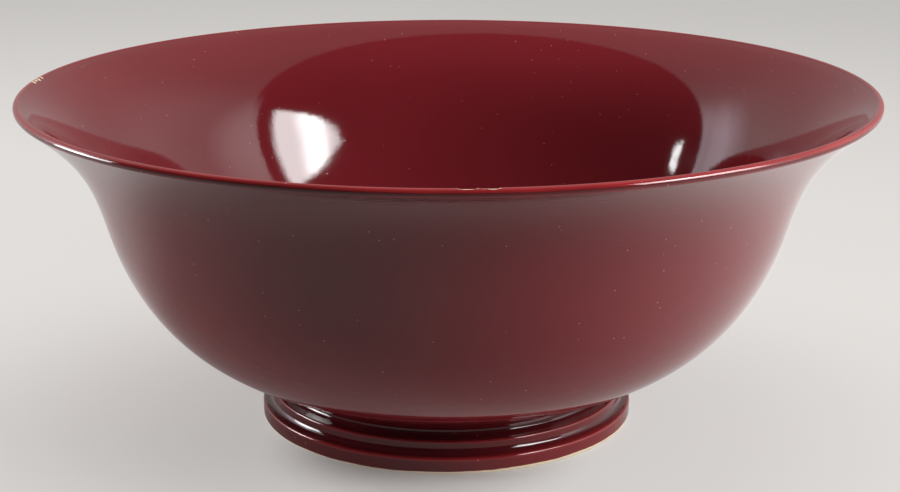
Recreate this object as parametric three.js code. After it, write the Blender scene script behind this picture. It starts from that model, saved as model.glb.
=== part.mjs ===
// Salad serving bowl in glazed earthenware: a turned body with a flared lip on a moulded foot ring.
// The foot is turned on its own and stuck to the body with slip before firing, seat on flat seat.
// Millimetres, +Z up. The origin is on the table, under the middle of the foot.
import * as THREE from "three";

// Body: heights are measured one from the next, from the seat upwards
const rimRadius = 140; // widest, at the outside of the lip
const waistInset = 28; // how far the steepest place of the side lies inside the rim
const bellyRise = 53; // seat to waist
const flareRise = 39.9; // waist to the underside of the lip
const lipThickness = 2.7; // the lip is a full round of this thickness
const wallThickness = 5; // side wall where it leaves the seat; it thins evenly up to the lip
const floorThickness = 5.2; // in the middle of the bowl
const undersideDip = 3.2; // the middle of the underside hangs this far below the seat
const seatMargin = 0.8; // flat of the seat outside the slip
const dipMargin = 1.2; // flat of the seat inside the slip

// Directions of the turned curves, in degrees above level
const bellyStartSlope = 13.3; // outside, at the seat
const waistSlope = 73.5; // outside, steepest
const lipSlope = 35.5; // outside, under the lip
const dipSlope = 8.5; // underside, where it meets the seat

// How far the ends of each curve keep their direction
const bellyStartPull = 40;
const bellyEndPull = 13.5;
const flareStartPull = 14;
const flareEndPull = 25;
const floorMiddlePull = 26;
const floorEdgePull = 14;
const dipMiddlePull = 22;
const dipEdgePull = 10;

// Foot ring: each radius is set in from the one below it
const footRadius = 62.4; // outside of the flange
const flangeHeight = 5.1; // upright face of the flange
const stepInset = 3.3; // flange to step
const stepRise = 4.5; // flange edge to step edge
const neckInset = 5.2; // step to neck
const neckRise = 5.2; // step edge to the top seat
const neckSpread = 2.4; // the neck flares out again by this much at the top seat
const treadFall = 0.5; // each tread drops this much towards its edge, so that it drains
const edgeRadius = 0.8; // edges of flange and step, where the glaze runs thin
const lowerCoveRadius = 2.5;
const upperCoveRadius = 3;
const baseWidth = 6.6; // width of the ring at the table
const seatWidth = 7.2; // width of the flat top seat
const innerTaperRise = 7; // the recess narrows up to this height, then goes straight up

// Slip between the two seats
const slipThickness = 0.9;
const slipBead = 0.9; // it squeezes out this far past the foot's top seat, inside and outside

// Fineness of the turned surfaces
const turns = 76; // faces round the axis
const curveSteps = 11; // along each outside curve
const floorSteps = 4;
const undersideSteps = 3;
const lipSteps = 6;
const beadSteps = 4;
const arcStep = 32; // degrees of arc for each face of a rounded corner
const cornerShare = 0.49; // a rounding takes up to this share of the sides beside it

const footHeight = flangeHeight + stepRise + neckRise;
const neckRadius = footRadius - stepInset - neckInset;
const topSeatRadius = neckRadius + neckSpread;
const recessRadius = topSeatRadius - seatWidth;
const bodySeatHeight = footHeight + slipThickness;

function direction(degrees) {
  const angle = THREE.MathUtils.degToRad(degrees);
  return new THREE.Vector2(Math.cos(angle), Math.sin(angle));
}

// A curve from one point to another that leaves and arrives in the given directions.
function bend(start, startSlope, startPull, end, endSlope, endPull) {
  return new THREE.CubicBezierCurve(
    start,
    start.clone().addScaledVector(direction(startSlope), startPull),
    end.clone().addScaledVector(direction(endSlope), -endPull),
    end,
  );
}

function corner(radius, height, rounding) {
  return { at: new THREE.Vector2(radius, height), rounding };
}

// Points of a closed outline whose corners are rounded, as far as the shorter side beside each allows.
function roundedOutline(corners) {
  const count = corners.length;
  return corners.flatMap(({ at, rounding }, index) => {
    if (rounding === 0) {
      return [at];
    }
    const before = corners[(index + count - 1) % count].at.clone().sub(at);
    const after = corners[(index + 1) % count].at.clone().sub(at);
    const room = Math.min(before.length(), after.length()) * cornerShare;
    before.normalize();
    after.normalize();
    const half = Math.acos(before.dot(after)) / 2;
    const reach = Math.min(rounding / Math.tan(half), room);
    const curve = new THREE.QuadraticBezierCurve(
      at.clone().addScaledVector(before, reach),
      at,
      at.clone().addScaledVector(after, reach),
    );
    const sweep = THREE.MathUtils.radToDeg(Math.PI - 2 * half);
    return curve.getPoints(Math.max(2, Math.round(sweep / arcStep)));
  });
}

// Turns an outline of (radius, height) points round the Z axis.
function turned(outline) {
  const geometry = new THREE.LatheGeometry(outline, turns);
  return geometry.rotateX(Math.PI / 2);
}

// Outside of the side wall, from the seat over belly and waist to the lip.
function outsideCurves() {
  const seatEdge = new THREE.Vector2(topSeatRadius + slipBead + seatMargin, bodySeatHeight);
  const waist = new THREE.Vector2(rimRadius - waistInset, bodySeatHeight + bellyRise);
  const lipOverhang = (lipThickness / 2) * (1 - direction(lipSlope).y);
  const underLip = new THREE.Vector2(rimRadius - lipOverhang, waist.y + flareRise);
  const belly = bend(seatEdge, bellyStartSlope, bellyStartPull, waist, waistSlope, bellyEndPull);
  const flare = bend(waist, waistSlope, flareStartPull, underLip, lipSlope, flareEndPull);
  return [belly, flare];
}

// Points up the outside of the wall, each with the point straight through the wall from it.
function sideWall() {
  const [belly, flare] = outsideCurves();
  const stations = [];
  for (let step = 0; step <= curveSteps; step++) {
    stations.push([belly, step / curveSteps]);
  }
  for (let step = 1; step <= curveSteps; step++) {
    stations.push([flare, step / curveSteps]);
  }
  return stations.map(([curve, share], index) => {
    const outside = curve.getPoint(share);
    const tangent = curve.getTangent(share);
    const inward = new THREE.Vector2(-tangent.y, tangent.x);
    const risen = index / (stations.length - 1);
    const thickness = THREE.MathUtils.lerp(wallThickness, lipThickness, risen);
    return { outside, inside: outside.clone().addScaledVector(inward, thickness) };
  });
}

// Half a turn, anticlockwise from start to end, in equal steps and with both ends.
function halfRound(start, end, steps) {
  const centre = start.clone().lerp(end, 0.5);
  return Array.from({ length: steps + 1 }, (_, step) =>
    start.clone().rotateAround(centre, (Math.PI * step) / steps),
  );
}

function bowlBody() {
  const wall = sideWall();
  const foot = wall[0];
  const top = wall[wall.length - 1];
  const lip = halfRound(top.outside, top.inside, lipSteps);
  const dipMiddle = new THREE.Vector2(0, bodySeatHeight - undersideDip);
  const dipEdge = new THREE.Vector2(recessRadius - slipBead - dipMargin, bodySeatHeight);
  const dip = bend(dipMiddle, 0, dipMiddlePull, dipEdge, dipSlope, dipEdgePull);
  const floorMiddle = new THREE.Vector2(0, dipMiddle.y + floorThickness);
  const floor = bend(floorMiddle, 0, floorMiddlePull, foot.inside, bellyStartSlope, floorEdgePull);
  return turned([
    ...dip.getPoints(undersideSteps),
    ...wall.map((station) => station.outside),
    ...lip.slice(1, -1),
    ...wall.map((station) => station.inside).reverse(),
    ...floor.getPoints(floorSteps).reverse().slice(1),
  ]);
}

function footRing() {
  const stepRadius = footRadius - stepInset;
  const stepHeight = flangeHeight + stepRise;
  const outline = roundedOutline([
    corner(footRadius, 0, edgeRadius),
    corner(footRadius, flangeHeight, edgeRadius),
    corner(stepRadius, flangeHeight + treadFall, lowerCoveRadius),
    corner(stepRadius, stepHeight, edgeRadius),
    corner(neckRadius, stepHeight + treadFall, upperCoveRadius),
    corner(topSeatRadius, footHeight, 0),
    corner(recessRadius, footHeight, edgeRadius),
    corner(recessRadius, innerTaperRise, lowerCoveRadius),
    corner(footRadius - baseWidth, 0, edgeRadius),
  ]);
  return turned([...outline, outline[0]]);
}

// The slip fills the whole joint and ends in a small round bead on both sides.
function jointSlip() {
  const outer = topSeatRadius + slipBead - slipThickness / 2;
  const inner = recessRadius - slipBead + slipThickness / 2;
  const place = (radius, height) => new THREE.Vector2(radius, height);
  const outline = [
    ...halfRound(place(outer, footHeight), place(outer, bodySeatHeight), beadSteps),
    ...halfRound(place(inner, bodySeatHeight), place(inner, footHeight), beadSteps),
  ];
  return turned([...outline, outline[0]]);
}

const maroonGlaze = { color: 0x6c1c22, roughness: 0.12, metalness: 0 };
const pooledGlaze = { color: 0x4a1216, roughness: 0.15, metalness: 0 };

const bowl = new THREE.Group();
for (const [name, geometry, look] of [
  ["bowl_body", bowlBody(), maroonGlaze],
  ["foot_ring", footRing(), maroonGlaze],
  ["joint_slip", jointSlip(), pooledGlaze],
]) {
  const mesh = new THREE.Mesh(geometry, new THREE.MeshStandardMaterial(look));
  mesh.name = name;
  bowl.add(mesh);
}

export default bowl;
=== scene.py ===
import math
from collections import namedtuple

import bmesh
import bpy
from mathutils import Matrix, Vector, noise


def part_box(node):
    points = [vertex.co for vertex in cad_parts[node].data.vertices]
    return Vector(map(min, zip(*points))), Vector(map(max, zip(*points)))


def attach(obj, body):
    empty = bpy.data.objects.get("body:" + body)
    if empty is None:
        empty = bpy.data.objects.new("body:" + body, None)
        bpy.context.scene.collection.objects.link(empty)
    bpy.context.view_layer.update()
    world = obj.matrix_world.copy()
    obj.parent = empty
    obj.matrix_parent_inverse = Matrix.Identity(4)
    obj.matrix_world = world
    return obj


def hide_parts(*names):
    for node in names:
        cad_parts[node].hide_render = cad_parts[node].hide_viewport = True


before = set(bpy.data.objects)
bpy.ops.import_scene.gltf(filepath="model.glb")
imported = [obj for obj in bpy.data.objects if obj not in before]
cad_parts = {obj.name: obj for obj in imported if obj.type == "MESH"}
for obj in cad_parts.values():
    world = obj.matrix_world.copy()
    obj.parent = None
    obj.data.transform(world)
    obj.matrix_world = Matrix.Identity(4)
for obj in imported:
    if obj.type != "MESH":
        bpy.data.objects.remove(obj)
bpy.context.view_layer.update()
body_low, body_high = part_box("bowl_body")
foot_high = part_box("foot_ring")[1]
slip_low, slip_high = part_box("joint_slip")

bl_info = {
    "name": "Salad Serving Bowl",
    "version": (1, 0, 0),
    "blender": (4, 5, 0),
    "location": "View3D > Sidebar > Salad Bowl",
    "description": "A footed salad serving bowl in maroon glaze, with the studio that it stands in",
    "category": "Object",
}

# Sizes are in metres and angles in radians, heights above the table, radii from the turning axis.
MM = 0.001
FULL_TURN = 2 * math.pi


def length(name, description, default):
    return bpy.props.FloatProperty(
        name=name, description=description, default=default, unit="LENGTH", precision=5
    )


def slope(name, description, degrees):
    return bpy.props.FloatProperty(
        name=name, description=description, default=math.radians(degrees), subtype="ANGLE"
    )


def amount(name, description, default):
    return bpy.props.FloatProperty(name=name, description=description, default=default, min=0)


def count(name, description, default):
    return bpy.props.IntProperty(name=name, description=description, default=default, min=3)


def colour(name, description, default):
    return bpy.props.FloatVectorProperty(
        name=name, description=description, default=default, subtype="COLOR", min=0, max=1
    )


class BodyShape(bpy.types.PropertyGroup):
    rim_radius: length("Rim Radius", "Widest, at the outside of the lip", body_high.x)
    lip_top: length("Lip Top", "Height of the top of the lip", body_high.z)
    seat_height: length("Seat Height", "Where the foot is stuck on", slip_high.z)
    dip_bottom: length("Dip Bottom", "Lowest point of the underside, inside the foot", body_low.z)
    waist_inset: length("Waist Inset", "Steepest place of the side, inside the rim", 28 * MM)
    waist_height: length("Waist Height", "Height of that place", 68.7 * MM)
    lip_thickness: length("Lip Thickness", "The lip is a full round of this thickness", 2.7 * MM)
    wall_thickness: length("Wall Thickness", "Where it leaves the seat; it thins up to the lip", 5 * MM)
    floor_thickness: length("Floor Thickness", "In the middle of the bowl", 5.2 * MM)
    inner_fullness: length("Inner Fullness", "Half of what the inside is fuller by, at the belly", 0.7 * MM)
    fullness_height: length("Fullness Height", "Where the inside has lost half of that", 70 * MM)
    fullness_fade: length("Fullness Fade", "Over what height it is lost", 10 * MM)
    fullness_start: length("Fullness Start", "Where it begins over the floor", 18 * MM)
    fullness_whole: length("Fullness Whole", "Where it has come in wholly", 50 * MM)
    lip_swell: length("Lip Swell", "How much thicker the flare is near the lip", 0.4 * MM)
    swell_start: length("Swell Start", "How far below the lip's top the swelling begins", 24 * MM)
    swell_peak: length("Swell Peak", "How far below the lip's top it is thickest", 3.7 * MM)
    seat_margin: length("Seat Margin", "Flat of the seat outside the slip", 0.8 * MM)
    dip_margin: length("Dip Margin", "Flat of the seat inside the slip", 1.2 * MM)
    belly_start_slope: slope("Belly Start Slope", "Outside, at the seat", 13.3)
    waist_slope: slope("Waist Slope", "Outside, steepest", 73.5)
    lip_slope: slope("Lip Slope", "Outside, under the lip", 35.5)
    dip_slope: slope("Dip Slope", "Underside, where it meets the seat", 8.5)
    belly_start_pull: length("Belly Start Pull", "How far it keeps its first direction", 40 * MM)
    belly_end_pull: length("Belly End Pull", "How far it keeps its last direction", 13.5 * MM)
    flare_start_pull: length("Flare Start Pull", "How far it keeps its first direction", 14 * MM)
    flare_end_pull: length("Flare End Pull", "How far it keeps its last direction", 25 * MM)
    floor_middle_pull: length("Floor Middle Pull", "How far it stays level", 26 * MM)
    floor_edge_pull: length("Floor Edge Pull", "How far it keeps its last direction", 14 * MM)
    dip_middle_pull: length("Dip Middle Pull", "How far it stays level", 22 * MM)
    dip_edge_pull: length("Dip Edge Pull", "How far it keeps its last direction", 10 * MM)
    turns: count("Turns", "Faces round the axis", 320)
    curve_steps: count("Curve Steps", "Steps along each outside curve", 48)
    lip_side_steps: count("Lip Side Steps", "Finer steps along the last part of the flare", 64)
    tool_mark_depth: length("Tool Mark Depth", "Depth of the turning lines under the lip", 0.012 * MM)
    lip_steps: count("Lip Steps", "Steps round the lip", 24)


class FootShape(bpy.types.PropertyGroup):
    foot_radius: length("Foot Radius", "Outside of the flange", foot_high.x)
    foot_height: length("Foot Height", "Table to the top seat", foot_high.z)
    flange_height: length("Flange Height", "Upright face of the flange", 5.1 * MM)
    step_inset: length("Step Inset", "Flange to step", 3.3 * MM)
    step_rise: length("Step Rise", "Flange edge to step edge", 4.5 * MM)
    neck_inset: length("Neck Inset", "Step to neck", 5.2 * MM)
    neck_spread: length("Neck Spread", "The neck flares out again at the top seat", 2.4 * MM)
    tread_fall: length("Tread Fall", "Drop of each tread towards its edge", 0.5 * MM)
    edge_rounding: length("Edge Rounding", "Edges of flange and step", 0.8 * MM)
    lower_cove: length("Lower Cove", "Rounding between flange and step", 3.4 * MM)
    upper_cove: length("Upper Cove", "Rounding between step and neck", 3.6 * MM)
    base_width: length("Base Width", "Width of the ring at the table", 6.6 * MM)
    seat_width: length("Seat Width", "Width of the flat top seat", 7.2 * MM)
    inner_taper_rise: length("Inner Taper Rise", "The recess narrows up to this height", 7 * MM)
    glaze_line: length("Glaze Line", "Mean height of the bare clay over the table", 0.42 * MM)
    glaze_thickness: length("Glaze Thickness", "How far bare clay lies back from it", 0.08 * MM)
    glaze_wander: length("Glaze Wander", "How far that line strays up and down", 0.2 * MM)
    glaze_lift: length("Glaze Lift", "How much higher it runs on one side", 0.7 * MM)
    lifted_side: slope("Lifted Side", "Where round the foot it runs highest", -40)
    slip_bead: length("Slip Bead", "Slip squeezed out past the top seat", 0.9 * MM)
    turns: count("Turns", "Faces round the axis", 320)
    arc_steps: count("Arc Steps", "Steps round each corner", 10)


class GlazeLook(bpy.types.PropertyGroup):
    glaze: colour("Glaze", "Where it is thick", (0.16, 0.0125, 0.0175))
    # Also the colour of the painted light on the foot's right front side.
    thin_and_lit_glaze: colour("Thin Glaze", "Where it runs thin over an edge", (0.28, 0.02, 0.022))
    # Also the colour of the painted shade on the lip's outer face.
    pooled_glaze_and_shade: colour("Pooled Glaze", "Where it gathers in a corner", (0.05, 0.004, 0.007))
    pinhole: colour("Pinhole", "Where the glaze has boiled through", (0.5, 0.28, 0.25))
    clay: colour("Clay", "Bare fired clay", (0.62, 0.5, 0.36))
    # Makes the flare lighter near the lip.
    flare_lightening: amount("Faint Thinning", "How far the glaze thins over the whole flare", 0.085)
    # Painted shade: the foot's glaze is darkened for the shade under the bowl.
    foot_painted_shade: amount("Foot Depth", "The glaze on the foot is darker by this", 0.5)
    # Painted light: the foot's glaze is lightened on its right front side, where light falls from the
    # right.
    foot_painted_light: amount("Foot Thin Side", "How far it thins where its line is lifted", 0.35)
    glaze_index: amount("Glaze Index", "Index of refraction of the glaze", 1.6)
    gloss_roughness: amount("Gloss Roughness", "Roughness of the sound glaze", 0.05)
    clay_roughness: amount("Clay Roughness", "Roughness of bare clay", 0.85)


class StudioSetup(bpy.types.PropertyGroup):
    paper: colour("Paper", "Floor", (0.62, 0.605, 0.59))
    backdrop: colour("Backdrop", "What the camera sees of the light on the floor", (0.76, 0.735, 0.71))
    backdrop_far: colour("Backdrop Far", "The same, far behind the bowl", (0.54, 0.525, 0.50))
    backdrop_share: amount("Backdrop Share", "How much of the floor's look it is", 0.7)
    paper_glow: amount("Paper Glow", "Light that it throws up besides, where it is brightest", 0.65)
    near_glow: amount("Near Glow", "The same, close to the foot, besides", 0.22)
    floor_radius: length("Floor Radius", "Edge of the floor", 3.5)
    canopy: colour("Canopy", "Over the back half of the room", (0.40, 0.393, 0.386))
    canopy_sides: colour("Canopy Sides", "The same, low down at both sides", (0.84, 0.826, 0.811))
    curtain: colour("Curtain", "At the canopy's left end", (0.96, 0.9, 1.0))
    curtain_glow: amount("Curtain Glow", "How bright the curtain is", 2.6)
    right_end: colour("Right End", "The canopy's right end", (1.0, 0.9, 0.9))
    right_end_glow: amount("Right End Glow", "How bright that end is", 2.3)
    dim_side: colour("Dim Side", "The open side of the room", (0.015, 0.015, 0.015))
    overhead: amount("Overhead", "Power of the soft light over the floor, in watts", 22)


SHAPES = {
    "bowl_body_shape": BodyShape,
    "bowl_foot_shape": FootShape,
    "bowl_glaze": GlazeLook,
    "bowl_studio": StudioSetup,
}


class Value:
    """A shader number or vector, so that shader maths reads as Python."""

    def __init__(self, graph, socket):
        self.graph = graph
        self.socket = socket

    def math(self, operation, *values):
        made = self.graph.node("ShaderNodeMath", {"operation": operation}, dict(enumerate(values)))
        return Value(self.graph, made.outputs[0])

    def __add__(self, other):
        return self.math("ADD", self, other)

    def __sub__(self, other):
        return self.math("SUBTRACT", self, other)

    def __rsub__(self, other):
        return self.math("SUBTRACT", other, self)

    def __mul__(self, other):
        return self.math("MULTIPLY", self, other)

    def __pow__(self, other):
        return self.math("POWER", self, other)

    def __gt__(self, other):
        return self.math("GREATER_THAN", self, other)

    __radd__ = __add__
    __rmul__ = __mul__

    def or_more(self, other):
        return self.math("MAXIMUM", self, other)


class Graph:
    """A node tree in the making."""

    def __init__(self, tree):
        self.tree = tree
        tree.nodes.clear()

    def node(self, kind, settings=None, sockets=None):
        """Adds one node: its settings first, then a value or a link for each named socket."""
        made = self.tree.nodes.new(kind)
        for name, setting in (settings or {}).items():
            setattr(made, name, setting)
        for name, value in (sockets or {}).items():
            socket = self.find(made.inputs, name)
            if isinstance(value, Value):
                self.tree.links.new(value.socket, socket)
            elif isinstance(value, bpy.types.NodeSocket):
                self.tree.links.new(value, socket)
            else:
                socket.default_value = value
        return made

    @staticmethod
    def find(sockets, name):
        if isinstance(name, int):
            return sockets[name]
        return next(s for s in sockets if s.enabled and name in (s.name, s.identifier))

    def value(self, kind, output, settings=None, sockets=None):
        """The named output of a new node, ready for maths."""
        return Value(self, self.find(self.node(kind, settings, sockets).outputs, output))

    def smooth(self, value, start, end):
        """0 at start and 1 at end, with soft shoulders."""
        sockets = {"Value": value, "From Min": start, "From Max": end}
        return self.value("ShaderNodeMapRange", "Result", {"interpolation_type": "SMOOTHSTEP"}, sockets)

    def mixed(self, share, first, second):
        """A colour between two others."""
        sockets = {"Factor_Float": share, "A_Color": first, "B_Color": second}
        return self.value("ShaderNodeMix", "Result_Color", {"data_type": "RGBA"}, sockets)

    def clouds(self, place, scale, detail):
        """Soft noise between 0 and 1, in so many blots to the metre with so many finer layers."""
        sockets = {"Vector": place, "Scale": scale, "Detail": detail}
        return self.value("ShaderNodeTexNoise", "Fac", None, sockets)

    def parts(self, place):
        """The three coordinates of a place."""
        made = self.node("ShaderNodeSeparateXYZ", None, {"Vector": place})
        return [Value(self, output) for output in made.outputs]

    def vector(self, operation, first, second, output="Value"):
        return self.value("ShaderNodeVectorMath", output, {"operation": operation}, {0: first, 1: second})

    def towards(self, place, heading, stretch):
        """0 where a place lies short of a stretch along a heading, and 1 past its end."""
        return self.smooth(self.vector("DOT_PRODUCT", place, heading), *stretch)

    def bump(self, height, strength, distance):
        sockets = {"Strength": strength, "Distance": distance, "Height": height}
        return self.value("ShaderNodeBump", "Normal", None, sockets)

    def surface(self, sockets):
        """The shader of a plain surface with these sockets."""
        return self.node("ShaderNodeBsdfPrincipled", None, sockets).outputs["BSDF"]

    def between(self, share, first, second):
        """A shader between two others."""
        return self.node("ShaderNodeMixShader", None, {0: share, 1: first, 2: second}).outputs["Shader"]

    def finish(self, shader):
        self.node("ShaderNodeOutputMaterial", None, {"Surface": shader})

    def finish_front(self, shader, share=1):
        """Ends a material that shows on the front of its faces, by this share, and is clear behind."""
        clear = self.node("ShaderNodeBsdfTransparent").outputs["BSDF"]
        front = 1 - self.value("ShaderNodeNewGeometry", "Backfacing")
        self.finish(self.between(share * front, clear, shader))


def rgba(tint, level=1.0):
    return (*(channel * level for channel in tint), 1.0)


def new_material(name):
    """A material, its graph, and the place on the object that wears it."""
    material = bpy.data.materials.new(name)
    material.use_nodes = True
    graph = Graph(material.node_tree)
    return material, graph, graph.value("ShaderNodeTexCoord", "Object")


Ring = namedtuple("Ring", "radius height core reach share", defaults=[1.0])


def ring_mask(graph, place, ring):
    """The ring's share up to core metres from a ring round the axis, fading to 0 at reach."""
    east, north, up = graph.parts(place)
    off_radius = (east * east + north * north) ** 0.5 - ring.radius
    off_height = up - ring.height
    away = (off_radius * off_radius + off_height * off_height) ** 0.5
    return ring.share * (1 - graph.smooth(away, ring.core, ring.reach))


def ring_masks(graph, place, rings):
    total = ring_mask(graph, place, rings[0])
    for ring in rings[1:]:
        total = total.or_more(ring_mask(graph, place, ring))
    return total


PINHOLE_CELLS = 290  # cells to the metre, each with one dot at most
PINHOLE_SHARE = 0.6  # cells under this have none
PINHOLE_SIZE = 0.085  # of a cell
PINHOLE_CORE = 0.4 * PINHOLE_SIZE  # a dot is whole up to here


def pinholes(graph, place):
    """A few pale dots at random places."""
    cells = graph.node("ShaderNodeTexVoronoi", None, {"Vector": place, "Scale": PINHOLE_CELLS})
    chosen = graph.value("ShaderNodeSeparateColor", "Red", None, {"Color": cells.outputs["Color"]})
    near = 1 - graph.smooth(Value(graph, cells.outputs["Distance"]), PINHOLE_CORE, PINHOLE_SIZE)
    return near * (chosen > PINHOLE_SHARE)


PAINTED_LIGHT_SIDE = Vector((0.77, -0.64, 0))  # where the foot's glaze is painted lighter: painted light falling from the right
PAINTED_LIGHT_STRETCH = (0.036, 0.064)

# Noise: blots to the metre, and finer layers on them
MOTTLE = (9, 3)  # of the colour
UNEVENNESS = (55, 3)  # of the thin edges
RIPPLE = (420, 2)  # of the gloss
GRAIN = (2200, 2)  # of bare clay

# Values of the noise between which something changes
WIDE_CHANGE = (0.3, 0.7)
SHORT_CHANGE = (0.35, 0.65)

EDGE_LOWEST = 0.7  # how thin the glaze is on an edge at its least thin
DEEP_BLOTS = 0.86  # the colour where it is deepest
# Also the share of the painted shade on the lip's outer face.
POOL_AND_SHADE_SHARE = 0.8
DOT_SHARE = 0.6
DOT_ROUGHNESS = 0.25
MOTTLED_GLOSS = 0.02

# Relief: grains and dots beside the ripple, then strength and height
GRAIN_RELIEF = 0.35
DOT_RELIEF = 0.8
GLAZE_RELIEF = (0.05, 0.2 * MM)
CLAY_RELIEF = (0.5, 0.15 * MM)


def glazed(name, look, thin_rings, pool_and_shade_rings, lightening_rings=(), depth=1.0, painted_light_share=0.0):
    """Glossy maroon glaze: brighter on thin rings, darker where it gathers, with pinholes and bare chips.
    It may also carry painted shade, on a ring or all over by a depth under 1, and painted light on one
    side.
    """
    material, graph, place = new_material(name)
    bare = graph.value("ShaderNodeAttribute", "Fac", {"attribute_name": "bare_clay"})
    mottle = graph.clouds(place, *MOTTLE)
    ripple = graph.clouds(place, *RIPPLE)
    grain = graph.clouds(place, *GRAIN)
    dots = pinholes(graph, place)
    uneven = graph.smooth(graph.clouds(place, *UNEVENNESS), *SHORT_CHANGE)
    thin = ring_masks(graph, place, thin_rings) * (EDGE_LOWEST + (1 - EDGE_LOWEST) * uneven)
    if lightening_rings:
        thin = thin.or_more(look.flare_lightening * ring_masks(graph, place, lightening_rings))
    # Some of these rings are painted shade rather than gathered glaze, such as the one on the lip's outer
    # face.
    pool_and_shade = ring_masks(graph, place, pool_and_shade_rings)
    # A depth under 1 darkens the glaze as painted shade, as on the foot.
    deep = rgba(look.glaze, depth * DEEP_BLOTS)
    tint = graph.mixed(graph.smooth(mottle, *WIDE_CHANGE), deep, rgba(look.glaze, depth))
    # Painted light: the glaze is lightened on the side the light falls from.
    if painted_light_share:
        side = graph.towards(place, PAINTED_LIGHT_SIDE, PAINTED_LIGHT_STRETCH)
        tint = graph.mixed(painted_light_share * side, tint, rgba(look.thin_and_lit_glaze))
    tint = graph.mixed(pool_and_shade * POOL_AND_SHADE_SHARE, tint, rgba(look.pooled_glaze_and_shade))
    tint = graph.mixed(thin, tint, rgba(look.thin_and_lit_glaze))
    tint = graph.mixed(dots * DOT_SHARE, tint, rgba(look.pinhole))
    tint = graph.mixed(bare, tint, rgba(look.clay))
    gloss = look.gloss_roughness + MOTTLED_GLOSS * mottle
    rough = gloss + DOT_ROUGHNESS * dots + look.clay_roughness * bare
    bump = graph.bump(ripple + GRAIN_RELIEF * grain * bare - DOT_RELIEF * dots, *GLAZE_RELIEF)
    sockets = {"Base Color": tint, "Roughness": rough, "Normal": bump, "IOR": look.glaze_index}
    graph.finish(graph.surface(sockets))
    return material


CLAY_BLOTS = (300, 4)
CLAY_GROG = (2600, 3)
CLAY_DARKEST = 0.72
DUSTY = (0.62, 0.75)  # the grog's noise between which glaze dust lies
DUST_SHARE = 0.4


def bare_clay(look):
    """Fired clay with grog grains and a touch of glaze dust."""
    material, graph, place = new_material("bare_clay")
    paler = graph.smooth(graph.clouds(place, *CLAY_BLOTS), *WIDE_CHANGE)
    grog = graph.clouds(place, *CLAY_GROG)
    tint = graph.mixed(paler, rgba(look.clay, CLAY_DARKEST), rgba(look.clay))
    tint = graph.mixed(graph.smooth(grog, *DUSTY) * DUST_SHARE, tint, rgba(look.thin_and_lit_glaze))
    bump = graph.bump(grog, *CLAY_RELIEF)
    graph.finish(graph.surface({"Base Color": tint, "Roughness": look.clay_roughness, "Normal": bump}))
    return material


def direction(angle):
    return Vector((math.cos(angle), math.sin(angle)))


def inward(heading):
    """Into the clay, square to a heading along its outside."""
    return Vector((-heading.y, heading.x))


def even_shares(steps):
    return [step / steps for step in range(steps + 1)]


def finer_to_end(steps, start, end_steps):
    """Shares of a curve: even up to start, and in smaller equal steps from there to its end."""
    coarse = [share for share in even_shares(steps) if share < start]
    return coarse + [start + (1 - start) * share for share in even_shares(end_steps)]


def bend(start, start_slope, start_pull, end, end_slope, end_pull, shares):
    """Points of a curve that leaves and arrives in the given directions, with the direction at each."""
    first = start + direction(start_slope) * start_pull
    last = end - direction(end_slope) * end_pull
    stations = []
    for t in shares:
        s = 1 - t
        at = start * s**3 + first * (3 * s * s * t) + last * (3 * s * t * t) + end * t**3
        heading = (first - start) * (s * s) + (last - first) * (2 * s * t) + (end - last) * (t * t)
        stations.append((at, heading.normalized()))
    return stations


def turned_about(point, centre, angle):
    arm = point - centre
    return centre + Vector((
        arm.x * math.cos(angle) - arm.y * math.sin(angle),
        arm.x * math.sin(angle) + arm.y * math.cos(angle),
    ))


def half_round(start, end, steps):
    """Half a turn, anticlockwise from start to end, with both ends."""
    centre = (start + end) / 2
    return [turned_about(start, centre, math.pi * step / steps) for step in range(steps + 1)]


# Turning lines under the lip: distance below its top, and half width.
ToolMark = namedtuple("ToolMark", "below half_width")

TOOL_MARKS = [
    ToolMark(2.9 * MM, 0.35 * MM),
    ToolMark(3.7 * MM, 0.25 * MM),
    ToolMark(4.4 * MM, 0.4 * MM),
    ToolMark(5.6 * MM, 0.3 * MM),
]


def tool_marked(at, heading, body):
    """An outside point, pressed in where a turning line runs."""
    pressed = 0.0
    for mark in TOOL_MARKS:
        off = (body.lip_top - mark.below - at.y) / mark.half_width
        pressed += body.tool_mark_depth * math.exp(-off * off)
    return at + inward(heading) * pressed


def inner_fullness(body, height):
    """How much thicker the wall is at a height, because the belly was left fuller inside."""
    kept = 1 - math.tanh((height - body.fullness_height) / body.fullness_fade)
    risen = (height - body.fullness_start) / (body.fullness_whole - body.fullness_start)
    risen = min(1.0, max(0.0, risen))
    return body.inner_fullness * kept * risen * risen * (3 - 2 * risen)


def lip_swelling(body, height):
    """How much thicker the flare is at a height: it swells towards the lip and rolls over at its edge."""
    below = body.lip_top - body.lip_thickness - height
    peak = body.swell_peak - body.lip_thickness / 2
    if below < peak:
        return body.lip_swell * (1 - (1 - max(below, 0.0) / peak) ** 2)
    gone = min(1.0, (below - peak) / (body.swell_start - peak))
    return body.lip_swell * (1 - gone) ** 2 * (1 + 2 * gone)


def lip_round(body):
    """The middle of the lip's round section, and its radius."""
    half_lip = body.lip_thickness / 2
    return Vector((body.rim_radius - half_lip, body.lip_top - half_lip)), half_lip


def step_edge(foot):
    """Radius and height of the outer edge of the foot's step."""
    return foot.foot_radius - foot.step_inset, foot.flange_height + foot.step_rise


def top_seat(foot):
    """Radii of the foot's top seat, outside and inside."""
    outside = step_edge(foot)[0] - foot.neck_inset + foot.neck_spread
    return outside, outside - foot.seat_width


FINER_FLARE = 0.75  # share of the flare from which its steps are finer
DIP_STEPS = 16
FLOOR_STEPS = 28


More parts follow.
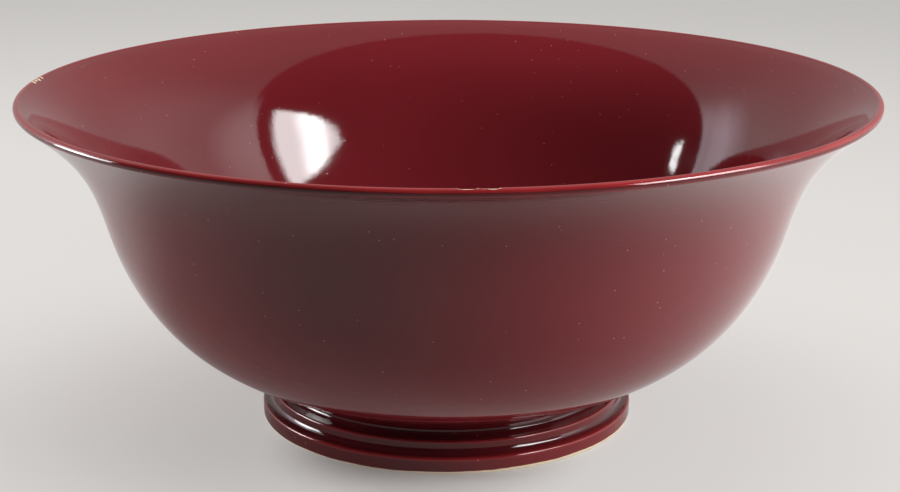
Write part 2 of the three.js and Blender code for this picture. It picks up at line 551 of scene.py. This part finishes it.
def body_outline(body, foot):
    """Outline of the body as (radius, height), from the middle of its underside to that of its floor."""
    seat_radius, recess = top_seat(foot)
    seat_edge = Vector((seat_radius + foot.slip_bead + body.seat_margin, body.seat_height))
    waist = Vector((body.rim_radius - body.waist_inset, body.waist_height))
    lip_centre, half_lip = lip_round(body)
    under_lip = lip_centre + direction(body.lip_slope - math.pi / 2) * half_lip
    belly = bend(seat_edge, body.belly_start_slope, body.belly_start_pull,
                 waist, body.waist_slope, body.belly_end_pull, even_shares(body.curve_steps))
    flare = bend(waist, body.waist_slope, body.flare_start_pull,
                 under_lip, body.lip_slope, body.flare_end_pull,
                 finer_to_end(body.curve_steps, FINER_FLARE, body.lip_side_steps))
    stations = belly + flare[1:]
    outside = [tool_marked(at, heading, body) for at, heading in stations]
    risen = 0.0
    wall_length = sum((b[0] - a[0]).length for a, b in zip(stations, stations[1:]))
    inside = []
    for index, (at, heading) in enumerate(stations):
        risen += (at - stations[max(index - 1, 0)][0]).length / wall_length
        thickness = body.wall_thickness + (body.lip_thickness - body.wall_thickness) * risen
        thickness += inner_fullness(body, at.y) + lip_swelling(body, at.y)
        inside.append(at + inward(heading) * thickness)
    lip = half_round(outside[-1], inside[-1], body.lip_steps)
    dip_edge = Vector((recess - foot.slip_bead - body.dip_margin, body.seat_height))
    dip_middle = Vector((0, body.dip_bottom))
    dip = bend(dip_middle, 0, body.dip_middle_pull, dip_edge, body.dip_slope, body.dip_edge_pull,
               even_shares(DIP_STEPS))
    floor_middle = Vector((0, body.dip_bottom + body.floor_thickness))
    floor = bend(floor_middle, 0, body.floor_middle_pull,
                 inside[0], body.belly_start_slope, body.floor_edge_pull, even_shares(FLOOR_STEPS))
    return (
        [at for at, heading in dip]
        + outside
        + lip[1:-1]
        + inside[::-1]
        + [at for at, heading in floor][-2::-1]
    )


Corner = namedtuple("Corner", "radius height rounding room", defaults=[0.49])
COVE_ROOM = 0.7  # a cove takes up to this share of the shorter side beside it


def rounded(corners, steps):
    """Closed outline of (radius, height) points with each corner rounded as far as its sides allow."""
    outline = []
    for index, corner in enumerate(corners):
        at = Vector(corner[:2])
        if corner.rounding == 0:
            outline.append(at)
            continue
        before = Vector(corners[index - 1][:2]) - at
        after = Vector(corners[(index + 1) % len(corners)][:2]) - at
        room = min(before.length, after.length) * corner.room
        half = before.angle(after) / 2
        reach = min(corner.rounding / math.tan(half), room)
        start = at + before.normalized() * reach
        end = at + after.normalized() * reach
        for step in range(steps + 1):
            t = step / steps
            outline.append(start * (1 - t) ** 2 + at * (2 * t * (1 - t)) + end * t * t)
    return outline


def foot_corners(foot):
    """Corners of the foot ring's section, anticlockwise from the outside of the flange at the table."""
    step_radius, step_height = step_edge(foot)
    neck_radius = step_radius - foot.neck_inset
    seat_radius, recess = top_seat(foot)
    return [
        Corner(foot.foot_radius, 0, foot.edge_rounding),
        Corner(foot.foot_radius, foot.flange_height, foot.edge_rounding),
        Corner(step_radius, foot.flange_height + foot.tread_fall, foot.lower_cove, COVE_ROOM),
        Corner(step_radius, step_height, foot.edge_rounding),
        Corner(neck_radius, step_height + foot.tread_fall, foot.upper_cove, COVE_ROOM),
        Corner(seat_radius, foot.foot_height, 0),
        Corner(recess, foot.foot_height, foot.edge_rounding),
        Corner(recess, foot.inner_taper_rise, foot.lower_cove),
        Corner(foot.foot_radius - foot.base_width, 0, foot.edge_rounding),
    ]


TINY = 1e-6  # places closer together than this are one


def with_levels(outline, heights):
    """The same closed outline, with a point added wherever it crosses one of these heights."""
    for height in heights:
        divided = []
        for index, at in enumerate(outline):
            before = outline[index - 1]
            crossed = (at.y > height) != (before.y > height)
            if crossed and min(abs(before.y - height), abs(at.y - height)) > TINY:
                divided.append(before.lerp(at, (height - before.y) / (at.y - before.y)))
            divided.append(at)
        outline = divided
    return outline


def cut_at_height(outline, height, keep_above):
    """The part of a closed outline over or under a level line, closed along that line."""
    kept = []
    for index, at in enumerate(outline):
        before = outline[index - 1]
        if (at.y >= height) != (before.y >= height):
            share = (height - before.y) / (at.y - before.y)
            kept.append(before.lerp(at, share))
        if (at.y >= height) == keep_above:
            kept.append(at.copy())
    return kept


def even_angles(turns):
    return [FULL_TURN * turn / turns for turn in range(turns)]


def new_object(name, data):
    made = bpy.data.objects.new(name, data)
    bpy.context.scene.collection.objects.link(made)
    return made


SHARP_ANGLE = math.radians(50)


def turned(name, outline, angles, reshape=None):
    """A closed mesh: an outline turned round the Z axis, with a single point where it ends on the axis.

    reshape(point, angle) gives a moved point and how bare the clay is there, from 0 to 1.
    """
    mesh = bpy.data.meshes.new(name)
    work = bmesh.new()
    bare = work.verts.layers.float.new("bare_clay")
    rings = []
    for point in outline:
        if point.x < TINY:
            rings.append([work.verts.new((0, 0, point.y))] * len(angles))
            continue
        ring = []
        for angle in angles:
            at, share = reshape(point, angle) if reshape else (point, 0.0)
            corner = work.verts.new((at.x * math.cos(angle), at.x * math.sin(angle), at.y))
            corner[bare] = share
            ring.append(corner)
        rings.append(ring)
    closed = outline[0].x > TINY
    pairs = list(zip(rings, rings[1:])) + ([(rings[-1], rings[0])] if closed else [])
    for lower, upper in pairs:
        for turn in range(len(angles)):
            following = (turn + 1) % len(angles)
            corners = (lower[turn], lower[following], upper[following], upper[turn])
            work.faces.new(list(dict.fromkeys(corners)))
    bmesh.ops.recalc_face_normals(work, faces=work.faces)
    work.to_mesh(mesh)
    work.free()
    mesh.shade_smooth()
    mesh.set_sharp_from_angle(angle=SHARP_ANGLE)
    return new_object(name, mesh)


Flake = namedtuple("Flake", "angle span climb depth")

# Flakes knocked off the lip: place and half span round the rim, how far they lie towards its inside, and
# their depth.
LIP_FLAKES = [
    Flake(math.radians(-87.7), math.radians(1.25), 0.25, 0.3 * MM),
    Flake(math.radians(-85.9), math.radians(0.5), 0.1, 0.22 * MM),
    Flake(math.radians(-84.9), math.radians(0.85), 0.3, 0.28 * MM),
    Flake(math.radians(176.3), math.radians(0.4), 0.1, 0.2 * MM),
    Flake(math.radians(175.2), math.radians(0.5), -0.1, 0.22 * MM),
    Flake(math.radians(174.2), math.radians(0.35), 0.25, 0.18 * MM),
    Flake(math.radians(172.9), math.radians(0.3), 0.1, 0.16 * MM),
]
FLAKE_FACING = Vector((-0.35, 1))  # from the middle of the lip to where the flakes lie
FLAKE_BREADTH = 0.62  # half the breadth across the lip, in radians
FLAKE_REACH = 1.6  # from the middle of the lip at most, in half lips
RAGGED = 0.35
RAGGED_ROUND = 900  # how fine the ragged edge is round the rim, and across the lip
RAGGED_ACROSS = 2400
FLAKE_BARING = 4  # how fast a flake is bare from its edge inwards, and how fast it deepens
FLAKE_DEEPENING = 2
FLAKE_STEPS = 28
FLAKE_MARGIN = 1.3  # the finer angles reach this many half spans
CLOSEST_ANGLES = math.radians(0.02)


def flaked(body):
    """How the lip is flaked: a function for turned()."""
    lip_centre, half_lip = lip_round(body)

    def reshape(point, angle):
        arm = point - lip_centre
        if arm.length > half_lip * FLAKE_REACH:
            return point, 0.0
        share = 0.0
        depth = 0.0
        for flake in LIP_FLAKES:
            off = (angle - flake.angle + math.pi) % FULL_TURN - math.pi
            along = off / flake.span
            across = (arm.angle(FLAKE_FACING) - flake.climb) / FLAKE_BREADTH
            ragged = noise.noise(Vector((off * RAGGED_ROUND, arm.x * RAGGED_ACROSS, arm.y * RAGGED_ACROSS)))
            inside = 1 - along * along - across * across + RAGGED * ragged
            if inside > 0:
                share = max(share, min(1.0, inside * FLAKE_BARING))
                depth = max(depth, flake.depth * min(1.0, inside * FLAKE_DEEPENING))
        return point - arm.normalized() * depth, share

    return reshape


def angles_with_flakes(turns):
    """Even angles, with finer ones added where the lip is flaked."""
    angles = even_angles(turns)
    for flake in LIP_FLAKES:
        for share in even_shares(FLAKE_STEPS):
            angles.append((flake.angle + flake.span * FLAKE_MARGIN * (2 * share - 1)) % FULL_TURN)
    angles.sort()
    return [b for a, b in zip([-1.0] + angles, angles) if b - a > CLOSEST_ANGLES]


def finish_piece(piece, material, node):
    piece.data.materials.append(material)
    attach(piece, "root")
    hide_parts(node)


# A ring round the lip: its angle above level, then how far off and how wide it is in half lips.
LipRing = namedtuple("LipRing", "slope off core reach share", defaults=[1.0])

# The glaze runs thin over the top of the lip, and again over its lower edge. Between the two, the lip's
# outer face gets painted shade in the colour of gathered glaze.
THIN_LIP = [
    LipRing(math.radians(62), 1.2, 0.8, 1.2),
    LipRing(math.radians(-44), 1.15, 0.35, 0.75, 0.6),
]
# Painted shade on the lip's outer face, laid on like gathered glaze.
LIP_PAINTED_SHADE = LipRing(math.radians(-6), 1.1, 0.35, 0.7)


def round_the_lip(body, ring):
    lip_centre, half_lip = lip_round(body)
    at = lip_centre + direction(ring.slope) * (half_lip * ring.off)
    return Ring(at.x, at.y, half_lip * ring.core, half_lip * ring.reach, ring.share)


def flare_lightening_rings(body):
    """A little lighter over the whole flare, and more so outside, close under the lip."""
    return [
        Ring(body.rim_radius, body.lip_top, 4 * MM, 34 * MM),
        Ring(body.rim_radius + 2 * MM, body.lip_top - 8 * MM, 3 * MM, 13 * MM, 1.8),
    ]


def foot_edges(foot):
    """Rings where the foot's glaze runs thin."""
    step_radius, step_height = step_edge(foot)
    inset = foot.edge_rounding / 4
    return [
        Ring(foot.foot_radius - inset, foot.flange_height - inset, 0.35 * MM, 0.95 * MM, 0.6),
        Ring(step_radius - inset, step_height - inset, 0.3 * MM, 0.9 * MM, 0.5),
    ]


def foot_pools(foot):
    """Rings where the foot's glaze gathers."""
    step_radius, step_height = step_edge(foot)
    return [
        Ring(step_radius, foot.flange_height + foot.tread_fall, 0.7 * MM, 2.4 * MM),
        Ring(step_radius - foot.neck_inset, step_height + foot.tread_fall, 1.0 * MM, 3.2 * MM),
    ]


class SALADBOWL_OT_body(bpy.types.Operator):
    """Turn the body with its floor, belly, waist, flared side and flaked lip"""

    bl_idname = "salad_bowl.body"
    bl_label = "Turn the Body"

    def execute(self, context):
        body = context.scene.bowl_body_shape
        foot = context.scene.bowl_foot_shape
        outline = body_outline(body, foot)
        piece = turned("glazed_body", outline, angles_with_flakes(body.turns), flaked(body))
        seat_pool = Ring(foot_high.x, body.seat_height, 0.5 * MM, 1.5 * MM)
        thin = [round_the_lip(body, ring) for ring in THIN_LIP]
        # Gathered glaze by the seat, and painted shade on the lip's outer face.
        pools_and_lip_shade = [seat_pool, round_the_lip(body, LIP_PAINTED_SHADE)]
        material = glazed("body_glaze", context.scene.bowl_glaze, thin, pools_and_lip_shade, flare_lightening_rings(body))
        finish_piece(piece, material, "bowl_body")
        return {"FINISHED"}


FACE_LOW = 0.1 * MM  # the foot stands on a piece of bare clay up to here
LINE_LEVELS = [level * 0.1 * MM for level in range(2, 19)]  # where the glaze line may run
LINE_BLUR = 0.12 * MM
LINE_WAVES = 6  # radius of the circle on which the line's noise is read: more gives shorter waves
LINE_RIPPLES = 4  # shorter waves on those, by this factor, and half as high
RIPPLE_LAYER = Vector((0, 0, 3))


def glaze_ended(foot):
    """Where the foot's glaze ends over the bare clay: a function for turned()."""

    def reshape(point, angle):
        place = (direction(angle) * LINE_WAVES).to_3d()
        stray = noise.noise(place) + noise.noise(place * LINE_RIPPLES + RIPPLE_LAYER) / 2
        lift = foot.glaze_lift * max(0.0, math.cos(angle - foot.lifted_side)) ** 2
        line = foot.glaze_line + foot.glaze_wander * stray + lift
        share = min(1.0, max(0.0, 0.5 - (point.y - line) / LINE_BLUR))
        return Vector((point.x - foot.glaze_thickness * share, point.y)), share

    return reshape


class SALADBOWL_OT_foot(bpy.types.Operator):
    """Turn the foot ring: glazed mouldings over a face of bare clay"""

    bl_idname = "salad_bowl.foot"
    bl_label = "Turn the Foot"

    def execute(self, context):
        foot = context.scene.bowl_foot_shape
        look = context.scene.bowl_glaze
        outline = rounded(foot_corners(foot), foot.arc_steps)
        upper = with_levels(cut_at_height(outline, FACE_LOW, True), LINE_LEVELS)
        lower = cut_at_height(outline, FACE_LOW, False)
        angles = even_angles(foot.turns)
        glazed_foot = turned("glazed_foot", upper, angles, glaze_ended(foot))
        # The foot's glaze is darkened as painted shade, and lightened on its right front side as painted
        # light.
        material = glazed("foot_glaze", look, foot_edges(foot), foot_pools(foot), depth=look.foot_painted_shade,
                          painted_light_share=look.foot_painted_light)
        finish_piece(glazed_foot, material, "foot_ring")
        bare_face = turned("bare_foot_face", lower, angles)
        finish_piece(bare_face, bare_clay(look), "foot_ring")
        return {"FINISHED"}


class SALADBOWL_OT_slip(bpy.types.Operator):
    """Lay the coat of slip between the two seats, with its bead on both sides"""

    bl_idname = "salad_bowl.slip"
    bl_label = "Lay the Slip"

    def execute(self, context):
        foot = context.scene.bowl_foot_shape
        thickness = slip_high.z - slip_low.z
        outer = slip_high.x - thickness / 2
        inner = outer - foot.seat_width - 2 * foot.slip_bead + thickness
        steps = foot.arc_steps
        outline = half_round(Vector((outer, slip_low.z)), Vector((outer, slip_high.z)), steps)
        outline += half_round(Vector((inner, slip_high.z)), Vector((inner, slip_low.z)), steps)
        piece = turned("slip_joint", outline, even_angles(foot.turns))
        bead = Ring(slip_high.x, slip_low.z, 0.3 * MM, 1.2 * MM)
        material = glazed("slip_glaze", context.scene.bowl_glaze, [bead], [bead])
        finish_piece(piece, material, "joint_slip")
        return {"FINISHED"}


RIGHT = Vector((1, 0, 0))
BACK = Vector((0, 1, 0))
UP = Vector((0, 0, 1))

# In front of this line the paper lies in the dark: a direction, and distances along it.
PAPER_END = Vector((-0.28, -0.96, 0))
PAPER_END_STRETCH = (0.125, 0.195)
MIRRORED_END_STRETCH = (0.168, 0.215)
END_DARKNESS = 0.93

# What the glaze mirrors of the floor: dark in front, brighter to the right and to the left behind.
Sweep = namedtuple("Sweep", "heading stretch gain")

MIRRORED_COLOUR = (1.0, 0.975, 0.95)
MIRRORED_LOW = 0.22
MIRRORED_SWEEPS = [
    Sweep(Vector((0.9, 0.43, 0)), (-0.035, 0.21), 0.82),
    Sweep(Vector((-0.6, 0.8, 0)), (0.06, 0.17), 0.40),
]

# It is brighter by the foot, and less so over this stretch.
MIRRORED_STRETCH = (0.09, 0.24)
NEAR_GAIN = 1.18
FAR_LOSS = 0.27

# The paper near the foot throws more light up under the belly.
NEAR_GLOW_STRETCH = (0.09, 0.17)

# The foot's own shadow lies round this place, inside these radii.
SHADOW_PLACE = Vector((-0.006, -0.040, 0))
SHADOW_RADII = (0.02, 0.056)

# Light comes from the right, so the floor is less bright to the left of this stretch.
LEFT_SHARE = 0.8
LEFT_TO_RIGHT = (-0.06, 0.06)

# Behind the bowl the backdrop takes its far colour over this stretch.
BACKDROP_STRETCH = (0.2, 0.95)

PAPER_BLOTS = (2.5, 2)
PAPER_DARKEST = 0.95
FIBRES = (260, 4)
FIBRE_CHANGE = (0.3, 0.75)
FIBRE_COLOUR = (0.5, 0.48, 0.46)
FIBRE_SHARE = 0.06
PAPER_END_COLOUR = (0.03, 0.03, 0.03)
BLACK = (0, 0, 0, 1)
WHITE = (1, 1, 1, 1)


def to_eye(graph):
    """Which rays come straight from the camera, and which are mirrored or pass through something."""
    path = graph.node("ShaderNodeLightPath")
    names = ("Is Camera Ray", "Is Glossy Ray", "Is Transmission Ray")
    straight, glossy, through = (Value(graph, path.outputs[name]) for name in names)
    return straight, glossy.or_more(through)


def mirrored_level(graph, place, from_foot):
    """How bright the floor is for what mirrors it."""
    level = MIRRORED_LOW
    for sweep in MIRRORED_SWEEPS:
        level = level + sweep.gain * graph.towards(place, sweep.heading, sweep.stretch)
    level = level * (1 - END_DARKNESS * graph.towards(place, PAPER_END, MIRRORED_END_STRETCH))
    return level * (NEAR_GAIN - FAR_LOSS * graph.smooth(from_foot, *MIRRORED_STRETCH))


def paper_floor(studio):
    """Matt paper, a little uneven, under light that falls off in front of the bowl."""
    material, graph, place = new_material("floor_paper")
    straight, mirrored = to_eye(graph)
    wide = graph.clouds(place, *PAPER_BLOTS)
    fibre = graph.smooth(graph.clouds(place, *FIBRES), *FIBRE_CHANGE)
    watched = straight.or_more(mirrored)
    tint = graph.mixed(wide, rgba(studio.paper, PAPER_DARKEST), rgba(studio.paper))
    tint = graph.mixed(fibre * FIBRE_SHARE, tint, rgba(FIBRE_COLOUR))
    ended = graph.towards(place, PAPER_END, PAPER_END_STRETCH)
    tint = graph.mixed(ended * (1 - watched), tint, rgba(PAPER_END_COLOUR))
    from_foot = graph.vector("DISTANCE", place, Vector((0, 0, 0)))
    level = mirrored_level(graph, place, from_foot)
    behind_bowl = graph.towards(place, BACK, BACKDROP_STRETCH)
    backdrop = graph.mixed(behind_bowl, rgba(studio.backdrop), rgba(studio.backdrop_far))
    seen = graph.mixed(straight, graph.mixed(level * mirrored, BLACK, rgba(MIRRORED_COLOUR)), backdrop)
    lit = graph.smooth(graph.vector("DISTANCE", place, SHADOW_PLACE), *SHADOW_RADII)
    to_right = graph.towards(place, RIGHT, LEFT_TO_RIGHT)
    share = studio.backdrop_share * watched * lit * (LEFT_SHARE + (1 - LEFT_SHARE) * to_right)
    bounced = studio.near_glow * (1 - graph.smooth(from_foot, *NEAR_GLOW_STRETCH))
    glow = (studio.paper_glow * level + bounced) * (1 - watched)
    sockets = {
        "Base Color": graph.mixed(share, tint, BLACK),
        "Roughness": 1.0,
        "Specular IOR Level": 0.0,
        "Emission Color": graph.mixed(glow, graph.mixed(share, BLACK, seen), WHITE),
        "Emission Strength": 1.0,
    }
    graph.finish_front(graph.surface(sockets))
    return material


FLOOR_SIDES = 96


def lay_floor(studio):
    """A round floor, seen from above only."""
    mesh = bpy.data.meshes.new("studio_floor")
    work = bmesh.new()
    bmesh.ops.create_circle(
        work, cap_ends=True, cap_tris=True, segments=FLOOR_SIDES, radius=studio.floor_radius
    )
    work.to_mesh(mesh)
    work.free()
    floor = new_object("studio_floor", mesh)
    floor.data.materials.append(paper_floor(studio))


# The canopy's front edge runs over the bowl: everything behind it is pale, the rest dim.
CANOPY_SIDE = Vector((0.233, 0.972, 0))
CANOPY_EDGE = (0.033, 0.057)

# It is brighter towards both sides, by the square of how far they lie that way, and low down.
SIDES_STRETCH = (0.09, 0.72)
SIDES_TOP = (0.45, 0.85)

# A bright curtain hangs at the canopy's left end, to the left of this side and up to this height.
CURTAIN_SIDE = Vector((-0.559, -0.829, 0))
CURTAIN_EDGE = (-0.12, 0.12)
CURTAIN_TOP = (0.32, 0.60)
PLEATS = (8, 1)
PLEAT_STRETCH = Vector((1, 1, 0.1))
PLEAT_DARKNESS = 0.35

# The canopy's right end glows behind its own front edge, more so towards this side.
RIGHT_END_SIDE = Vector((0.866, -0.5, 0))
RIGHT_END_STRETCH = (0.70, 0.90)
RIGHT_END_FRONT = Vector((0.225, 0.974, 0))
RIGHT_END_EDGE = (-0.01, 0.01)


def curtain_share(graph, view):
    """How much light comes through the curtain, as seen from the bowl."""
    share = graph.towards(view, CURTAIN_SIDE, CURTAIN_EDGE) * (1 - graph.towards(view, UP, CURTAIN_TOP))
    drawn = graph.vector("MULTIPLY", view, PLEAT_STRETCH, "Vector")
    return share * (1 - PLEAT_DARKNESS * graph.smooth(graph.clouds(drawn, *PLEATS), *SHORT_CHANGE))


def right_end_share(graph, view):
    """How much the canopy's right end glows, as seen from the bowl."""
    share = graph.towards(view, RIGHT_END_SIDE, RIGHT_END_STRETCH)
    return share * graph.towards(view, RIGHT_END_FRONT, RIGHT_END_EDGE)


def light_room(studio):
    """The room: a pale canopy over the back half of the sky, dim on the open side."""
    world = bpy.data.worlds.new("studio_room")
    world.use_nodes = True
    bpy.context.scene.world = world
    graph = Graph(world.node_tree)
    view = graph.value("ShaderNodeTexCoord", "Generated")
    pale = graph.towards(view, CANOPY_SIDE, CANOPY_EDGE)
    across = graph.vector("DOT_PRODUCT", view, RIGHT)
    sides = graph.smooth(across * across, *SIDES_STRETCH) * (1 - graph.towards(view, UP, SIDES_TOP))
    canopy = graph.mixed(sides, rgba(studio.canopy), rgba(studio.canopy_sides))
    curtain = rgba(studio.curtain, studio.curtain_glow)
    canopy = graph.mixed(curtain_share(graph, view), canopy, curtain)
    tint = graph.mixed(pale, rgba(studio.dim_side), canopy)
    right_end = rgba(studio.right_end, studio.right_end_glow)
    tint = graph.mixed(right_end_share(graph, view), tint, right_end)
    straight = graph.value("ShaderNodeLightPath", "Is Camera Ray")
    tint = graph.mixed(straight, tint, rgba(studio.backdrop))
    background = graph.node("ShaderNodeBackground", None, {"Color": tint, "Strength": 1.0})
    graph.node("ShaderNodeOutputWorld", None, {"Surface": background.outputs["Background"]})


# A softbox glows evenly and fades over its edges. Its top may rise to one side by a share of its width. A
# hot spot may lie on it, where its bulb shows through.
Softbox = namedtuple(
    "Softbox",
    "name place facing width height glow fade rise hot_place hot_radius hot_glow",
    defaults=[0, Vector((0, 0, 0)), 0, 0],
)

SOFTBOXES = [
    Softbox("softbox_left", Vector((-0.87, 0.11, 0.18)), Vector((1, -0.05, 0)), 0.4, 0.34, 10, 0.03,
            hot_radius=0.15, hot_glow=22),
    Softbox("softbox_right", Vector((0.565, -0.373, 0.3725)), Vector((-0.978, -0.21, 0)), 0.56, 0.35, 11.5,
            0.04, rise=0.21, hot_place=Vector((-0.02, 0.11, 0)), hot_radius=0.17, hot_glow=25),
    Softbox("softbox_left_top", Vector((-0.87, 0.172, 0.391)), Vector((1, -0.05, 0)), 0.075, 0.045, 16,
            0.02),
]
HOT_CORE = 0.1  # share of its radius up to which a hot spot is whole


def softbox_glow(box):
    material, graph, place = new_material(box.name + "_glow")
    across, up, _ = graph.parts(place)
    half_width, half_height = box.width / 2, box.height / 2
    under_top = up - box.rise * across
    lit = graph.smooth(across, -half_width, box.fade - half_width)
    lit = lit * (1 - graph.smooth(across, half_width - box.fade, half_width))
    lit = lit * graph.smooth(up, -half_height, box.fade - half_height)
    lit = lit * (1 - graph.smooth(under_top, half_height - box.fade, half_height))
    glow = graph.node("ShaderNodeEmission", None, {"Strength": box.glow}).outputs["Emission"]
    if box.hot_glow:
        away = graph.vector("DISTANCE", place, box.hot_place)
        hot = 1 - graph.smooth(away, HOT_CORE * box.hot_radius, box.hot_radius)
        bulb = graph.node("ShaderNodeEmission", None, {"Strength": box.hot_glow}).outputs["Emission"]
        glow = graph.between(hot, glow, bulb)
    graph.finish_front(glow, lit)
    return material


def hang_softboxes():
    for box in SOFTBOXES:
        mesh = bpy.data.meshes.new(box.name)
        work = bmesh.new()
        sized = Matrix.Diagonal((box.width, box.height + box.rise * box.width, 1, 1))
        bmesh.ops.create_grid(work, x_segments=1, y_segments=1, size=0.5, matrix=sized)
        work.to_mesh(mesh)
        work.free()
        softbox = new_object(box.name, mesh)
        softbox.location = box.place
        softbox.rotation_euler = box.facing.to_track_quat("Z", "Y").to_euler()
        softbox.visible_camera = False
        softbox.visible_shadow = False
        softbox.data.materials.append(softbox_glow(box))


OVERHEAD_PLACE = Vector((0, 0.45, 1.4))
OVERHEAD_SIZE = 1.6


def hang_overhead(studio):
    """A wide soft light over the floor, which the glaze doesn't mirror."""
    light = bpy.data.lights.new("overhead", "AREA")
    light.shape = "SQUARE"
    light.size = OVERHEAD_SIZE
    light.energy = studio.overhead
    holder = new_object("overhead", light)
    holder.location = OVERHEAD_PLACE
    holder.visible_camera = False
    holder.visible_glossy = False


# The camera of the photograph, with its axis left of the middle.
PHOTO_WIDTH = 900
FOCAL_PIXELS = 1931.478
AXIS_PIXEL = 402.546
CAMERA_PLACE = Vector((0, -0.62461, 0.23194))
CAMERA_PITCH = math.radians(15.6771)
CAMERA_ROLL = math.radians(-0.2944)
CAMERA_YAW = math.radians(-1.3457)
SENSOR_WIDTH = 36


def place_camera():
    ahead = Vector((
        math.sin(CAMERA_YAW) * math.cos(CAMERA_PITCH),
        math.cos(CAMERA_YAW) * math.cos(CAMERA_PITCH),
        -math.sin(CAMERA_PITCH),
    ))
    level = Vector((math.cos(CAMERA_YAW), -math.sin(CAMERA_YAW), 0))
    upright = level.cross(ahead)
    right = level * math.cos(CAMERA_ROLL) + upright * math.sin(CAMERA_ROLL)
    up = upright * math.cos(CAMERA_ROLL) - level * math.sin(CAMERA_ROLL)
    data = bpy.data.cameras.new("photo_camera")
    data.sensor_width = SENSOR_WIDTH
    data.lens = FOCAL_PIXELS / PHOTO_WIDTH * SENSOR_WIDTH
    data.shift_x = (PHOTO_WIDTH / 2 - AXIS_PIXEL) / PHOTO_WIDTH
    data.clip_start = 0.01
    data.clip_end = 20
    camera = new_object("photo_camera", data)
    facing = Matrix((right, up, -ahead)).transposed()
    camera.matrix_world = Matrix.Translation(CAMERA_PLACE) @ facing.to_4x4()
    bpy.context.scene.camera = camera


class SALADBOWL_OT_stage(bpy.types.Operator):
    """Set up the studio: camera, paper floor, room and soft lights"""

    bl_idname = "salad_bowl.stage"
    bl_label = "Set the Stage"

    def execute(self, context):
        studio = context.scene.bowl_studio
        context.scene.view_settings.view_transform = "Standard"
        place_camera()
        lay_floor(studio)
        light_room(studio)
        hang_softboxes()
        hang_overhead(studio)
        return {"FINISHED"}


OPERATORS = [SALADBOWL_OT_stage, SALADBOWL_OT_body, SALADBOWL_OT_foot, SALADBOWL_OT_slip]


class SALADBOWL_PT_panel(bpy.types.Panel):
    """Sizes, colours and steps of the bowl"""

    bl_idname = "SALADBOWL_PT_panel"
    bl_label = "Salad Serving Bowl"
    bl_space_type = "VIEW_3D"
    bl_region_type = "UI"
    bl_category = "Salad Bowl"

    def draw(self, context):
        for operator in OPERATORS:
            self.layout.operator(operator.bl_idname)
        for name, shape in SHAPES.items():
            box = self.layout.box()
            for size in shape.__annotations__:
                box.prop(getattr(context.scene, name), size)


def register():
    for shape in SHAPES.values():
        bpy.utils.register_class(shape)
    for name, shape in SHAPES.items():
        setattr(bpy.types.Scene, name, bpy.props.PointerProperty(type=shape))
    for operator in OPERATORS:
        bpy.utils.register_class(operator)
    bpy.utils.register_class(SALADBOWL_PT_panel)


def unregister():
    bpy.utils.unregister_class(SALADBOWL_PT_panel)
    for operator in OPERATORS:
        bpy.utils.unregister_class(operator)
    for name in SHAPES:
        delattr(bpy.types.Scene, name)
    for shape in SHAPES.values():
        bpy.utils.unregister_class(shape)


def main():
    register()
    bpy.ops.salad_bowl.stage()
    bpy.ops.salad_bowl.body()
    bpy.ops.salad_bowl.foot()
    bpy.ops.salad_bowl.slip()


if __name__ == "__main__":
    main()
